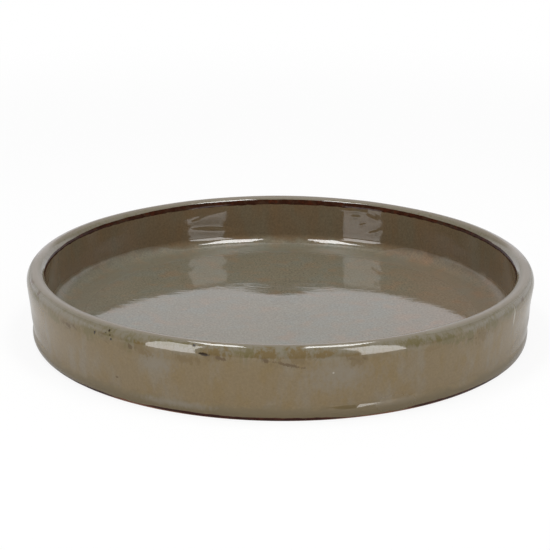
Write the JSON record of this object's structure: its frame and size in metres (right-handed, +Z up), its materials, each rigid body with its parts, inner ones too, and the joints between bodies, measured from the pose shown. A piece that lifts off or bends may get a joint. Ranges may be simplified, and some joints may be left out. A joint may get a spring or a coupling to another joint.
{
  "type": "plant saucer",
  "caption": "Round, low, straight-walled plant saucer of fired red clay with a glossy grey-olive glaze, a thick rounded rim and a bare clay foot.",
  "frame": {"origin": "centre of the foot, on the surface that the saucer stands on", "axes": "+Z is up, along the saucer's axis of turning; X and Y are level"},
  "size_m": [0.3, 0.3, 0.042],
  "materials": {
    "bare_clay": "matt fired red clay, unglazed",
    "inner_glaze": "glossy grey-olive glaze with fine speckle",
    "outer_glaze": "glossy olive glaze, mottled, greener above the foot",
    "rim_glaze": "glossy pale grey glaze with yellow-olive patches at its lower border",
    "lip_line": "thin dark red-brown glaze broken over the clay",
    "foot_line": "burnt dark brown glaze edge"
  },
  "bodies": {
    "root": {"clay_body": "bare_clay", "inner_glaze": "inner_glaze", "outer_glaze": "outer_glaze", "rim_glaze": "rim_glaze", "lip_line": "lip_line", "foot_line": "foot_line"}
  },
  "joints": []
}
